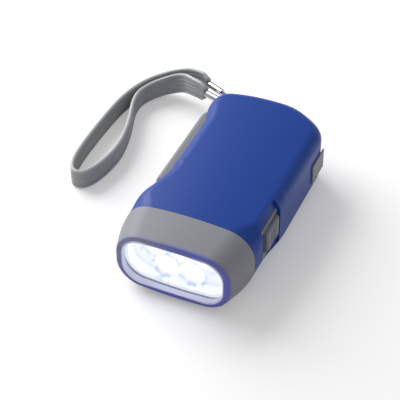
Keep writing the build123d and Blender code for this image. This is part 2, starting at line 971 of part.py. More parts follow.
with BuildPart() as squeeze_lever:
    add(lever_plan())
    extrude(amount=lever_high - lever_low)
    outer_rims = squeeze_lever.edges().filter_by(
        lambda edge: abs(edge.center().Z - (lever_low + lever_high) / 2) > lever_skin
    )
    outer_rims = outer_rims.filter_by(lambda edge: edge.center().X < lever_inner - end_play)
    fillet(outer_rims, lever_rounding)
    pocket = block(
        lever_outer + lever_skin,
        lever_inner,
        from_lip(lever_front) + lever_nose_length,
        from_lip(lever_rear) - lever_skin - lever_rear_round / 2,
        lever_low + lever_skin,
        lever_high - lever_skin,
    )
    add(pocket, mode=Mode.SUBTRACT)
    add(upright(pivot, lever_low, hub_top, hub_radius))
    with BuildSketch(Plane.XY.offset(web_low)):
        sector_points = [(0, 0)]
        for tooth in range(-sector_teeth_after, sector_teeth_before + 1):
            tooth_angle = sector_phase + 2 * math.pi * tooth / sector_teeth
            sector_points += tooth_points(sector_teeth, sector_module, tooth_angle)
        with Locations(pivot):
            Polygon(*sector_points, align=None)
    extrude(amount=web_thickness)
    tongue_root = lever_inner - lever_skin / 2
    add(block(tongue_root, tongue_end, from_lip(tongue_front), from_lip(tongue_front) + tongue_width,
              lock_low, lock_high))
    add(block(tongue_end - tongue_lug, tongue_end, from_lip(tongue_front), from_lip(tongue_lug_rear),
              lock_low, lock_high))
    add(upright(pivot, hub_top, lever_high + lever_gap, spring_room), mode=Mode.SUBTRACT)
    add(upright(pivot, 0, lever_high, pin_radius + running_clearance), mode=Mode.SUBTRACT)
squeeze_lever.part.label = "squeeze_lever"
export_step(squeeze_lever.part, "parts/squeeze_lever.step")

with BuildPart() as lever_pin:
    add(upright(pivot, pin_foot, pin_head_room, pin_radius))
lever_pin.part.label = "lever_pin"
export_step(lever_pin.part, "parts/lever_pin.step")

spring_low = hub_top + spring_wire / 2 + end_play
spring_height = spring_turns * spring_pitch
with BuildPart() as lever_spring:
    with BuildLine(Plane.XY.offset(spring_low).shift_origin((*pivot, spring_low))) as coil:
        Helix(spring_pitch, spring_height, spring_radius)
    with BuildSketch(Plane(coil.line @ 0, z_dir=coil.line % 0)):
        Circle(spring_wire / 2)
    sweep(path=coil.line, is_frenet=True)
    with BuildSketch(Plane(coil.line @ 0, z_dir=(0, -1, 0))):
        Circle(spring_wire / 2)
    extrude(amount=spring_leg / 2)
    with BuildSketch(Plane(coil.line @ 1, z_dir=(0, 1, 0))):
        Circle(spring_wire / 2)
    extrude(amount=spring_leg)
lever_spring.part.label = "lever_spring"
export_step(lever_spring.part, "parts/lever_spring.step")


# ==================================================================== gear train
def running_gear(solids, place):
    """A gear built from its discs and hubs, bored for its axle."""
    with BuildPart() as gear:
        for solid in solids:
            add(solid)
        bore = upright(place, 0, plate_low, axle_radius + running_clearance)
        add(bore, mode=Mode.SUBTRACT)
    return gear.part


drive_low = drive_boss_top + end_play
with BuildPart() as drive_gear:
    add(
        running_gear(
            [
                toothed_disc(drive_pinion_teeth, sector_module, drive_phase, drive_place,
                             drive_low, drive_pinion_height),
                toothed_disc(drive_wheel_teeth, wheel_module, drive_phase, drive_place,
                             drive_wheel_low, drive_wheel_height),
                upright(drive_place, drive_low, hub_end, gear_hub_radius),
            ],
            drive_place,
        )
    )
drive_gear.part.label = "drive_gear"
export_step(drive_gear.part, "parts/drive_gear.step")

step_low = step_boss_top + end_play
with BuildPart() as step_gear:
    add(
        running_gear(
            [
                toothed_disc(step_pinion_teeth, wheel_module, step_phase, step_place,
                             step_pinion_low, step_pinion_height),
                toothed_disc(step_wheel_teeth, rotor_module, step_phase, step_place,
                             step_wheel_low, step_wheel_height),
                upright(step_place, step_low, hub_end, gear_hub_radius),
            ],
            step_place,
        )
    )
step_gear.part.label = "step_gear"
export_step(step_gear.part, "parts/step_gear.step")

for name, place in (("drive_axle", drive_place), ("step_axle", step_place)):
    with BuildPart() as axle:
        add(upright(place, axle_foot, axle_top, axle_radius))
    axle.part.label = name
    export_step(axle.part, f"parts/{name}.step")

flywheel_top = flywheel_low + flywheel_height
with BuildPart() as rotor_gear:
    add(toothed_disc(rotor_pinion_teeth, rotor_module, rotor_phase, rotor_place,
                     rotor_pinion_low, rotor_pinion_height))
    add(upright(rotor_place, flywheel_top, rotor_pinion_low, gear_hub_radius))
    add(upright(rotor_place, 0, plate_low, axle_radius), mode=Mode.SUBTRACT)
rotor_gear.part.label = "rotor_gear"
export_step(rotor_gear.part, "parts/rotor_gear.step")

with BuildPart() as flywheel:
    add(upright(rotor_place, flywheel_low, flywheel_top, flywheel_radius))
    chamfer(flywheel.edges().filter_by(GeomType.CIRCLE), flywheel_chamfer)
    add(upright(rotor_place, magnet_low, flywheel_low, rotor_hub_radius))
    add(upright(rotor_place, 0, plate_low, axle_radius), mode=Mode.SUBTRACT)
flywheel.part.label = "flywheel"
export_step(flywheel.part, "parts/flywheel.step")

with BuildPart() as rotor_magnet:
    add(upright(rotor_place, magnet_low, magnet_top, magnet_radius))
    add(upright(rotor_place, 0, magnet_top, rotor_hub_radius), mode=Mode.SUBTRACT)
rotor_magnet.part.label = "rotor_magnet"
export_step(rotor_magnet.part, "parts/rotor_magnet.step")

with BuildPart() as rotor_shaft:
    add(upright(rotor_place, rotor_foot + end_play, plate_top - end_play, axle_radius))
rotor_shaft.part.label = "rotor_shaft"
export_step(rotor_shaft.part, "parts/rotor_shaft.step")


# ===================================================================== generator
with BuildPart() as stator_can:
    add(upright(rotor_place, can_low, can_high, can_radius))
    add(upright(rotor_place, can_low + can_wall, can_high, can_radius - can_wall),
        mode=Mode.SUBTRACT)
    add(upright(rotor_place, can_low, can_high, can_bore), mode=Mode.SUBTRACT)
stator_can.part.label = "stator_can"
export_step(stator_can.part, "parts/stator_can.step")


def claw_ring(plate_face, claw_low, claw_high, first_angle):
    """A pole plate with its claws, which stand round the magnet."""
    with BuildPart() as ring:
        with BuildSketch(Plane.XY.offset(plate_face)):
            with Locations(rotor_place):
                Circle(can_radius - can_wall)
                Circle(pole_radius, mode=Mode.SUBTRACT)
        extrude(amount=pole_plate)
        with BuildSketch(Plane.XY.offset(claw_low)):
            with Locations(rotor_place):
                with PolarLocations(0, pole_count, first_angle):
                    far = 2 * pole_radius
                    spread = far * math.tan(math.radians(pole_angle / 2))
                    Polygon((0, 0), (far, -spread), (far, spread), align=None)
                Circle(pole_radius + pole_thickness, mode=Mode.INTERSECT)
                Circle(pole_radius, mode=Mode.SUBTRACT)
        extrude(amount=claw_high - claw_low)
    return ring.part


lower_plate = can_low + can_wall
upper_plate = can_high - pole_plate
with BuildPart() as pole_ring:
    add(claw_ring(lower_plate, lower_plate, upper_plate - pole_end_gap, 0))
    add(
        claw_ring(
            upper_plate, lower_plate + pole_plate + pole_end_gap, can_high, 180 / pole_count
        )
    )
pole_ring.part.label = "pole_ring"
export_step(pole_ring.part, "parts/pole_ring.step")

bobbin_inner = pole_radius + pole_thickness + bobbin_gap
bobbin_low = lower_plate + pole_plate
with BuildPart() as winding_room:
    add(upright(rotor_place, bobbin_low + bobbin_wall, upper_plate - bobbin_wall, can_radius))
    add(upright(rotor_place, 0, can_high, bobbin_inner + bobbin_wall), mode=Mode.SUBTRACT)

with BuildPart() as coil_bobbin:
    add(upright(rotor_place, bobbin_low, upper_plate, bobbin_outer))
    add(winding_room.part, mode=Mode.SUBTRACT)
    add(upright(rotor_place, 0, can_high, bobbin_inner), mode=Mode.SUBTRACT)
coil_bobbin.part.label = "coil_bobbin"
export_step(coil_bobbin.part, "parts/coil_bobbin.step")

winding_inner = bobbin_inner + bobbin_wall
with BuildPart() as coil_winding:
    add(
        upright(
            rotor_place,
            bobbin_low + bobbin_wall,
            upper_plate - bobbin_wall,
            winding_inner + winding_depth,
        )
    )
    add(upright(rotor_place, 0, can_high, winding_inner), mode=Mode.SUBTRACT)
coil_winding.part.label = "coil_winding"
export_step(coil_winding.part, "parts/coil_winding.step")


# ==================================================================== gear plate
with BuildPart() as gear_plate:
    with BuildSketch(Plane.XY.offset(plate_low)):
        with Locations(*post_places, plate_corner):
            Circle(plate_margin)
        make_hull()
        with Locations(*post_places):
            Circle(plate_screw_shank + press_clearance, mode=Mode.SUBTRACT)
        with Locations(drive_place, step_place):
            Circle(axle_radius + press_clearance, mode=Mode.SUBTRACT)
        with Locations(rotor_place):
            Circle(axle_radius + running_clearance, mode=Mode.SUBTRACT)
    extrude(amount=plate_thickness)
gear_plate.part.label = "gear_plate"
export_step(gear_plate.part, "parts/gear_plate.step")

with BuildPart() as plate_screws:
    for place in post_places:
        add(
            crossed_screw(
                place,
                plate_top,
                plate_screw_head,
                plate_screw_head_height,
                plate_top - plate_screw_length,
                plate_top,
                plate_screw_shank,
                plate_top + plate_screw_head_height - cross_depth,
            )
        )
plate_screws.part.label = "plate_screws"
export_step(plate_screws.part, "parts/plate_screws.step")


# ========================================================================= cells
cell_y = from_lip(cell_distance)
with BuildPart() as cell_holder:
    add(
        block(holder_left, holder_right, cell_y - holder_half, cell_y + holder_half,
              holder_low, holder_high)
    )
    trough_radius = cell_radius + contact_gap
    with BuildSketch(Plane.YZ.offset(holder_left + holder_wall)):
        with Locations((cell_y, cell_height)):
            Circle(trough_radius)
        with Locations((cell_y, cell_height + trough_radius)):
            Rectangle(2 * trough_radius, 2 * trough_radius)
    extrude(amount=holder_right - holder_left - 2 * holder_wall, mode=Mode.SUBTRACT)
    chamfer(cell_holder.edges().filter_by(Axis.Y).group_by(Axis.Z)[0].sort_by(Axis.X)[0], holder_bevel)
cell_holder.part.label = "cell_holder"
export_step(cell_holder.part, "parts/cell_holder.step")

with BuildPart() as button_cells:
    for cell in range(cell_count):
        face = cell_left + cell * cell_thickness
        with BuildSketch(Plane.YZ.offset(face)):
            with Locations((cell_y, cell_height)):
                Circle(cell_radius)
        extrude(amount=cell_thickness - cell_step)
        with BuildSketch(Plane.YZ.offset(face)):
            with Locations((cell_y, cell_height)):
                Circle(cell_radius - cell_step)
        extrude(amount=cell_thickness)
button_cells.part.label = "button_cells"
export_step(button_cells.part, "parts/button_cells.step")

with BuildPart() as cell_contacts:
    for face in (cell_left - contact_thickness, cell_end):
        with BuildSketch(Plane.YZ.offset(face)):
            with Locations((cell_y, (holder_high + cell_height) / 2)):
                Rectangle(cell_radius, cell_radius)
        extrude(amount=contact_thickness)
cell_contacts.part.label = "cell_contacts"
export_step(cell_contacts.part, "parts/cell_contacts.step")


# =================================================================== electronics
with BuildPart() as circuit_board:
    add(
        block(board_left, board_right, from_lip(board_front), from_lip(board_rear),
              board_low, board_top)
    )
circuit_board.part.label = "circuit_board"
export_step(circuit_board.part, "parts/circuit_board.step")

with BuildPart() as board_parts:
    component_y = from_lip((board_front + board_rear) / 2)
    with BuildSketch(Plane.XY.offset(board_top)):
        with Locations((board_left + capacitor_inset, component_y)):
            Circle(capacitor_radius)
    extrude(amount=capacitor_height)
    with BuildSketch(Plane.XY.offset(board_top)):
        with Locations((board_left + chip_inset, component_y + chip_length / 2)):
            Rectangle(chip_width, chip_length)
    extrude(amount=chip_height)
    with BuildSketch(Plane.XY.offset(board_top)):
        with Locations((board_left + chip_inset, component_y - resistor_row)):
            with GridLocations(resistor_pitch, 0, resistor_count, 1):
                Rectangle(resistor_width, resistor_length)
    extrude(amount=resistor_height)
board_parts.part.label = "board_parts"
export_step(board_parts.part, "parts/board_parts.step")

with BuildPart() as switch_housing:
    add(
        block(switch_box_left, switch_box_right, from_lip(switch_box_front),
              from_lip(switch_box_rear), board_top, board_top + switch_box_height)
    )
    tip_room = tip_half_height + part_clearance
    add(
        block(
            switch_box_right - switch_box_slot,
            switch_box_right,
            from_lip(neck_front) - switch_travel - part_clearance,
            from_lip(neck_rear) + part_clearance,
            parting - tip_room,
            parting + tip_room,
        ),
        mode=Mode.SUBTRACT,
    )
switch_housing.part.label = "switch_housing"
export_step(switch_housing.part, "parts/switch_housing.step")


# ======================================================================== switch
knob_height_middle = (knob_low + knob_high) / 2
with BuildPart() as switch_trim:
    with BuildSketch(Plane.YZ.offset(switch_plane)):
        trim_middle = (from_lip(switch_front) + from_lip(switch_rear)) / 2
        with Locations((trim_middle, (switch_low + switch_high) / 2)):
            Rectangle(switch_rear - switch_front, switch_high - switch_low)
    extrude(amount=trim_thickness)
    add(
        block(
            switch_plane,
            switch_plane + trim_thickness,
            from_lip(knob_front) - switch_travel - slide_clearance,
            from_lip(knob_rear) + slide_clearance,
            knob_low - part_clearance,
            knob_high + part_clearance,
        ),
        mode=Mode.SUBTRACT,
    )
switch_trim.part.label = "switch_trim"
export_step(switch_trim.part, "parts/switch_trim.step")

with BuildPart() as switch_knob:
    knob_back = switch_plane + seam_clearance
    add(block(knob_back, knob_face, from_lip(knob_front), from_lip(knob_rear), knob_low, knob_high))
    chamfer(switch_knob.faces().sort_by(Axis.X)[-1].edges(), knob_chamfer)
    neck_back = switch_box_right + slide_clearance
    add(
        block(neck_back, knob_back, from_lip(neck_front), from_lip(neck_rear),
              parting - neck_half_height, parting + neck_half_height)
    )
    tip_middle = from_lip((neck_front + neck_rear) / 2)
    add(
        block(neck_back - tip_reach, neck_back, tip_middle - tip_half_width,
              tip_middle + tip_half_width, parting - tip_half_height, parting + tip_half_height)
    )
    with BuildSketch(Plane.YZ.offset(knob_face - knob_groove_depth)):
        knob_middle = from_lip((knob_front + knob_rear) / 2)
        with Locations((knob_middle, knob_height_middle)):
            with GridLocations(knob_groove_pitch, 0, knob_groove_count, 1):
                Rectangle(knob_groove_width, knob_high - knob_low - 2 * knob_groove_inset)
    extrude(amount=knob_groove_depth, mode=Mode.SUBTRACT)
switch_knob.part.label = "switch_knob"
export_step(switch_knob.part, "parts/switch_knob.step")


# ==================================================================== lever lock
with BuildPart() as lock_button:
    pad_back = right_wall + seam_clearance
    add(
        block(pad_back, pad_back + lock_pad_thickness, from_lip(lock_pad_front),
              from_lip(lock_pad_rear), lock_pad_low, lock_pad_high)
    )
    fillet(lock_button.faces().sort_by(Axis.X)[-1].edges(), lock_pad_rounding)
    add(
        block(lock_bar_right, pad_back, from_lip(lock_arm_front), from_lip(lock_neck_rear),
              lock_low, lock_high)
    )
lock_button.part.label = "lock_button"
export_step(lock_button.part, "parts/lock_button.step")

with BuildPart() as lock_bar:
    bar_front = from_lip(lock_bar_rear - lock_bar_width)
    add(
        block(lock_bar_right - lock_bar_width, lock_bar_right, from_lip(lock_arm_front),
              from_lip(lock_bar_rear), lock_low, lock_high)
    )
    add(block(lock_bar_left, lock_bar_right, bar_front, from_lip(lock_bar_rear), lock_low, lock_high))
    add(
        block(lock_bar_left, lock_bar_left + lock_lug, bar_front - lock_bar_width, bar_front,
              lock_low, lock_high)
    )
lock_bar.part.label = "lock_bar"
export_step(lock_bar.part, "parts/lock_bar.step")


# ============================================================= lanyard and strap
with BuildPart() as lanyard_pin:
    add(upright(lanyard_pin_place, lower_ear, upper_ear + ear_thickness, lanyard_pin_radius))
lanyard_pin.part.label = "lanyard_pin"
export_step(lanyard_pin.part, "parts/lanyard_pin.step")

loop_points = [Vector(x, y, lanyard_height) for x, y in loop_route]
with BuildPart() as lanyard_loop:
    with BuildLine() as loop_line:
        FilletPolyline(*loop_points, radius=loop_bend)
    with BuildSketch(Plane(loop_points[0], z_dir=loop_points[1] - loop_points[0])):
        Circle(lanyard_radius)
    sweep(path=loop_line.line)
lanyard_loop.part.label = "lanyard_loop"
export_step(lanyard_loop.part, "parts/lanyard_loop.step")


def ferrule_axis(end, inner):
    """The ferrule's middle line, straight on from the loop's end."""
    return (end - inner).normalized()


upper_axis = ferrule_axis(loop_points[0], loop_points[1])
lower_axis = ferrule_axis(loop_points[-1], loop_points[-2])
ferrule_ends = []
for name, start, axis in (
    ("ferrule_upper", loop_points[0], upper_axis),
    ("ferrule_lower", loop_points[-1], lower_axis),
):
    with BuildPart() as ferrule:
        with BuildSketch(Plane(start, z_dir=axis)):
            Circle(ferrule_radius)
        extrude(amount=ferrule_length)
        chamfer(ferrule.edges().filter_by(GeomType.CIRCLE), ferrule_chamfer)
    ferrule.part.label = name
    export_step(ferrule.part, f"parts/{name}.step")
    ferrule_ends.append(start + axis * ferrule_length)


def corner_radii(points):
    """Each corner's arc, from its shorter run and half its turn."""
    radii = []
    for before, corner, after in zip(points, points[1:], points[2:]):
        turn = math.radians((corner - before).get_angle(after - corner))
        shorter = min((corner - before).length, (after - corner).length)
        radii.append(bend_share * shorter / math.tan(turn / 2))
    return radii


strap_points = [ferrule_ends[0]] + [Vector(*point) for point in strap_route] + [ferrule_ends[1]]
strap_radii = corner_radii(strap_points)
print("strap radii", [round(radius, 1) for radius in strap_radii])
with BuildPart() as wrist_strap:
    with BuildLine() as strap_line:
        FilletPolyline(*strap_points, radius=strap_radii)
    strap_path = strap_line.wires()[0]
    start_plane = Plane(strap_points[0], x_dir=(0, 0, 1), z_dir=strap_points[1] - strap_points[0])
    with BuildSketch(start_plane):
        Rectangle(strap_width, strap_thickness)
    sweep(path=strap_path, binormal=strap_path.moved(Location((0, 0, strap_width / 2))))
strap_section = strap_width * strap_thickness
print("strap length", round(strap_path.length, 1), "section", strap_section)
print("strap volume", round(wrist_strap.part.volume, 1))
wrist_strap.part.label = "wrist_strap"
export_step(wrist_strap.part, "parts/wrist_strap.step")
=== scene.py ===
"""Looks of the squeeze-lever torch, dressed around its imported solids.

The solids that the pack holds keep their shapes and get procedural finishes.
The wrist strap and the lanyard cord are soft, so woven pieces stand for them.
"""

import logging
import math
from dataclasses import dataclass
from enum import Enum

import bmesh
import bpy
from mathutils import Matrix, Vector


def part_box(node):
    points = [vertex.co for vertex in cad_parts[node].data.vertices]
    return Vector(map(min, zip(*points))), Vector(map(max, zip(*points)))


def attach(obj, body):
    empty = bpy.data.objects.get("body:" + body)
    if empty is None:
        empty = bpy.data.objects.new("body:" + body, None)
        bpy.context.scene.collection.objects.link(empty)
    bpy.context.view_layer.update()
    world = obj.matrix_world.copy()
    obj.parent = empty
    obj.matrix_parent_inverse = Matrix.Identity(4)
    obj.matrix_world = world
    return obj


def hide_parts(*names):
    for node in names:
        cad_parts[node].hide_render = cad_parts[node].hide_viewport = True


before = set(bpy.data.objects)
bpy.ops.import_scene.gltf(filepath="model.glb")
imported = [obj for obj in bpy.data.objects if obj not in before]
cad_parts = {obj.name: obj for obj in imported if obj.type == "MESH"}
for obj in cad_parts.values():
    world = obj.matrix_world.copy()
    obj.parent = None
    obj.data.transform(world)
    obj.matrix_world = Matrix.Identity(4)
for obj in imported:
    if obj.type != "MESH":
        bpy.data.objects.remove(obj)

MM = 0.001
# A wave texture of scale 1 turns through this many radians in one unit.
WAVES_A_UNIT = 20
BLACK = (0.0, 0.0, 0.0, 1.0)
WHITE = (1.0, 1.0, 1.0, 1.0)
log = logging.getLogger("torch")

Colour = tuple[float, float, float]
Point = tuple[float, float, float]


def linear(colour: Colour) -> tuple[float, float, float, float]:
    """Turns a display colour into the linear colour that shaders take.

    Args:
        colour: Red, green and blue from 0 to 255, as a screen shows them.

    Returns:
        The linear colour, with an alpha of 1.
    """
    parts = []
    for part in colour:
        share = part / 255
        parts.append(share / 12.92 if share <= 0.04045 else ((share + 0.055) / 1.055) ** 2.4)
    return (*parts, 1.0)


def in_metres(point: Point) -> Vector:
    """Turns a point in millimetres into one in metres."""
    return Vector(point) * MM


class NodeKind(Enum):
    """The shader nodes that the finishes are made of."""

    POINT = "ShaderNodeTexCoord"
    NOISE = "ShaderNodeTexNoise"
    WAVE = "ShaderNodeTexWave"
    CELLS = "ShaderNodeTexVoronoi"
    RAMP = "ShaderNodeValToRGB"
    MATH = "ShaderNodeMath"
    VECTOR = "ShaderNodeVectorMath"
    SPLIT = "ShaderNodeSeparateXYZ"
    PLACE = "ShaderNodeMapping"
    MIX = "ShaderNodeMix"
    RANGE = "ShaderNodeMapRange"
    BUMP = "ShaderNodeBump"
    PATH = "ShaderNodeLightPath"
    EMISSION = "ShaderNodeEmission"
    ADD = "ShaderNodeAddShader"
    BLEND = "ShaderNodeMixShader"


class Recipe:
    """A material's node tree, with a short call for each step of a finish."""

    def __init__(self, name: str) -> None:
        """Starts a material.

        Args:
            name: The material's name.
        """
        self.material = bpy.data.materials.new(name)
        self.material.use_nodes = True
        self.tree = self.material.node_tree
        self.shader = self.tree.nodes["Principled BSDF"]
        self.output = self.tree.nodes["Material Output"]

    def node(self, kind: NodeKind, **settings: object) -> bpy.types.Node:
        """Adds a node.

        Args:
            kind: Which node it is.
            **settings: The node's own settings, by name.

        Returns:
            The new node.
        """
        made = self.tree.nodes.new(kind.value)
        for name, value in settings.items():
            setattr(made, name, value)
        return made

    def feed(self, socket: bpy.types.NodeSocket, value: object) -> None:
        """Links an output to a socket, or writes a plain value on it."""
        if isinstance(value, bpy.types.NodeSocket):
            self.tree.links.new(value, socket)
        else:
            socket.default_value = value

    def point(self) -> bpy.types.NodeSocket:
        """The place on the piece, in metres."""
        return self.node(NodeKind.POINT).outputs["Object"]

    def uv(self) -> bpy.types.NodeSocket:
        """The place on the piece's own UV map."""
        return self.node(NodeKind.POINT).outputs["UV"]

    def placed(self, point: object, offset: Point, scale: Point) -> bpy.types.NodeSocket:
        """Moves and stretches a pattern's coordinates.

        Args:
            point: The coordinates.
            offset: The pattern's centre, in metres.
            scale: The stretch along each axis.

        Returns:
            The new coordinates.
        """
        made = self.node(NodeKind.PLACE)
        self.feed(made.inputs["Vector"], point)
        made.inputs["Scale"].default_value = scale
        made.inputs["Location"].default_value = [-o * s for o, s in zip(offset, scale)]
        return made.outputs["Vector"]

    def noise(self, point: object, size: float, detail: float = 3.0) -> bpy.types.NodeSocket:
        """A soft random pattern.

        Args:
            point: The coordinates.
            size: The width of one patch, in metres.
            detail: How many finer layers it has.

        Returns:
            A value around 0.5.
        """
        made = self.node(NodeKind.NOISE)
        self.feed(made.inputs["Vector"], point)
        made.inputs["Scale"].default_value = 1 / size
        made.inputs["Detail"].default_value = detail
        return made.outputs["Fac"]

    def cells(self, point: object, size: float) -> bpy.types.NodeSocket:
        """The distance to the nearest of many scattered grains."""
        made = self.node(NodeKind.CELLS)
        self.feed(made.inputs["Vector"], point)
        made.inputs["Scale"].default_value = 1 / size
        return made.outputs["Distance"]

    def stripes(self, point: object, size: float, along: str) -> bpy.types.NodeSocket:
        """Even smooth stripes.

        Args:
            point: The coordinates.
            size: The width of one stripe and its gap.
            along: The axis that the stripes follow each other on.

        Returns:
            A value from 0 to 1.
        """
        made = self.node(NodeKind.WAVE, wave_type="BANDS", wave_profile="SIN")
        made.bands_direction = along
        self.feed(made.inputs["Vector"], point)
        made.inputs["Scale"].default_value = math.tau / WAVES_A_UNIT / size
        return made.outputs["Fac"]

    def part_of(self, point: object, axis: str) -> bpy.types.NodeSocket:
        """One coordinate of a point."""
        made = self.node(NodeKind.SPLIT)
        self.feed(made.inputs["Vector"], point)
        return made.outputs[axis]

    def sum_of(self, operation: str, first: object, second: object = 0.0) -> bpy.types.NodeSocket:
        """A sum of two values.

        Args:
            operation: The Math node's operation.
            first: A value or a socket.
            second: A value or a socket.

        Returns:
            The result.
        """
        made = self.node(NodeKind.MATH, operation=operation)
        self.feed(made.inputs[0], first)
        self.feed(made.inputs[1], second)
        return made.outputs[0]

    def eased(self, value: object, start: float, end: float) -> bpy.types.NodeSocket:
        """A smooth step from 0 at start to 1 at end."""
        made = self.node(NodeKind.RANGE, interpolation_type="SMOOTHSTEP")
        self.feed(made.inputs["Value"], value)
        made.inputs["From Min"].default_value = start
        made.inputs["From Max"].default_value = end
        return made.outputs["Result"]

    def scaled(self, value: object, low: float, high: float) -> bpy.types.NodeSocket:
        """Takes a value from 0 to 1 to a range."""
        made = self.node(NodeKind.RANGE)
        self.feed(made.inputs["Value"], value)
        made.inputs["To Min"].default_value = low
        made.inputs["To Max"].default_value = high
        return made.outputs["Result"]

    def mixed(self, share: object, first: object, second: object) -> bpy.types.NodeSocket:
        """A colour between two.

        Args:
            share: How much of the second colour it has.
            first: A colour or a socket.
            second: A colour or a socket.

        Returns:
            The mixed colour.
        """
        made = self.node(NodeKind.MIX, data_type="RGBA")
        self.feed(made.inputs["Factor"], share)
        self.feed(made.inputs["A"], first)
        self.feed(made.inputs["B"], second)
        return made.outputs["Result"]

    def bumped(self, height: object, depth: float) -> bpy.types.NodeSocket:
        """A normal that leans as a height pattern says.

        Args:
            height: The pattern, from 0 to 1.
            depth: Its depth, in metres.

        Returns:
            The normal.
        """
        made = self.node(NodeKind.BUMP)
        self.feed(made.inputs["Height"], height)
        made.inputs["Distance"].default_value = depth
        return made.outputs["Normal"]


@dataclass(frozen=True)
class Plastic:
    """Moulded plastic with a fine spark-eroded grain and faint flow marks."""

    name: str
    colour: Colour
    roughness: float = 0.42
    uneven: float = 0.06
    grain: float = 0.35 * MM
    depth: float = 0.006 * MM
    flow: float = 0.05
    flow_size: float = 22 * MM
    gloss: float = 0.3

    def tinted(self, recipe: Recipe, point: object) -> object:
        """The colour over the piece, before flow marks.

        Args:
            recipe: The material that is being made.
            point: The place on the piece.

        Returns:
            A colour or a socket.
        """
        return linear(self.colour)

    def make(self) -> bpy.types.Material:
        """Makes the material."""
        recipe = Recipe(self.name)
        point = recipe.point()
        marks = recipe.noise(point, self.flow_size, 2.0)
        plain = self.tinted(recipe, point)
        darker = recipe.mixed(self.flow * 2, plain, BLACK)
        recipe.feed(recipe.shader.inputs["Base Color"], recipe.mixed(marks, plain, darker))
        grain = recipe.noise(point, self.grain, 2.0)
        rough = recipe.scaled(grain, self.roughness - self.uneven, self.roughness + self.uneven)
        recipe.feed(recipe.shader.inputs["Roughness"], rough)
        recipe.feed(recipe.shader.inputs["Normal"], recipe.bumped(grain, self.depth))
        recipe.shader.inputs["Specular IOR Level"].default_value = self.gloss
        return recipe.material


@dataclass(frozen=True)
class LipPlastic(Plastic):
    """The bezel's plastic, with the lamps' violet light painted on its lip as colour.

    The lens opening is a box with round corners: half_span and half_rise reach
    from its middle to the corners' centres, and opening is their radius. Its inner
    wall gets a painted pale lamp light. The painted violet fades at the upper left,
    between fade_start and fade_end of X less Z.
    """

    # Painted lamp light: a violet colour on the lip and a pale one on the inner wall of the lens
    # opening.
    glow: Colour = (104, 108, 192)
    lamp_lit_wall: Colour = (228, 230, 250)
    front: float = -51.7 * MM
    band: float = 2.2 * MM
    middle: float = 15.6 * MM
    half_span: float = 13.0 * MM
    half_rise: float = 2.6 * MM
    opening: float = 8.75 * MM
    blend: float = 0.3 * MM
    fade_start: float = -42 * MM
    fade_end: float = -24 * MM
    faded: float = 0.35

    def tinted(self, recipe: Recipe, point: object) -> object:
        """Grey outside, painted violet lamp light on the flat lip, and painted pale lamp light on
        the lens opening's inner wall.
        """
        x = recipe.part_of(point, "X")
        y = recipe.part_of(point, "Y")
        z = recipe.part_of(point, "Z")
        # The painted violet lamp light fades towards the upper left.
        corner = recipe.sum_of("SUBTRACT", x, z)
        away = recipe.eased(corner, self.fade_start, self.fade_end)
        away = recipe.scaled(away, self.faded, 1.0)
        # Painted light: the lamps' violet on the flat lip.
        lip = recipe.eased(y, self.front + self.band, self.front)
        lip = recipe.sum_of("MULTIPLY", lip, away)
        outside = recipe.mixed(lip, linear(self.colour), linear(self.glow))
        beside = recipe.sum_of("SUBTRACT", recipe.sum_of("ABSOLUTE", x), self.half_span)
        beside = recipe.sum_of("MAXIMUM", beside, 0.0)
        above = recipe.sum_of("ABSOLUTE", recipe.sum_of("SUBTRACT", z, self.middle))
        above = recipe.sum_of("MAXIMUM", recipe.sum_of("SUBTRACT", above, self.half_rise), 0.0)
        square = recipe.sum_of(
            "ADD", recipe.sum_of("POWER", beside, 2.0), recipe.sum_of("POWER", above, 2.0)
        )
        radius = recipe.sum_of("SQRT", square)
        # Painted light: the pale lamp-lit inner wall of the lens opening.
        edge = self.opening + self.blend * 5 / 6
        lamp_lit_wall_share = recipe.eased(radius, edge, edge - self.blend)
        return recipe.mixed(lamp_lit_wall_share, outside, linear(self.lamp_lit_wall))


@dataclass(frozen=True)
class Metal:
    """Plain metal with a fine drawn or ground grain."""

    name: str
    colour: Colour
    roughness: float = 0.3
    stretch: Point = (1.0, 1.0, 0.08)
    grain: float = 0.25 * MM
    stain: float = 5 * MM
    dulled: float = 0.82
    depth: float = 0.004 * MM

    def make(self) -> bpy.types.Material:
        """Makes the material."""
        recipe = Recipe(self.name)
        point = recipe.placed(recipe.point(), (0, 0, 0), self.stretch)
        grain = recipe.noise(point, self.grain, 3.0)
        stain = recipe.noise(recipe.point(), self.stain, 3.0)
        dull = tuple(self.dulled * part for part in self.colour)
        colour = recipe.mixed(stain, linear(self.colour), linear(dull))
        recipe.feed(recipe.shader.inputs["Base Color"], colour)
        recipe.shader.inputs["Metallic"].default_value = 1.0
        rough = recipe.scaled(grain, self.roughness - 0.08, self.roughness + 0.12)
        recipe.feed(recipe.shader.inputs["Roughness"], rough)
        recipe.feed(recipe.shader.inputs["Normal"], recipe.bumped(grain, self.depth))
        return recipe.material


@dataclass(frozen=True)
class ClearCover:
    """The clear lens: nearly all light passes, and its surface shines."""

    name: str = "clear_cover"
    tint: Colour = (235, 240, 255)
    opacity: float = 0.12
    smear: float = 3 * MM

    def make(self) -> bpy.types.Material:
        """Makes the material."""
        recipe = Recipe(self.name)
        smear = recipe.noise(recipe.point(), self.smear, 3.0)
        recipe.shader.inputs["Base Color"].default_value = linear(self.tint)
        recipe.shader.inputs["Alpha"].default_value = self.opacity
        recipe.feed(recipe.shader.inputs["Roughness"], recipe.scaled(smear, 0.02, 0.12))
        return recipe.material


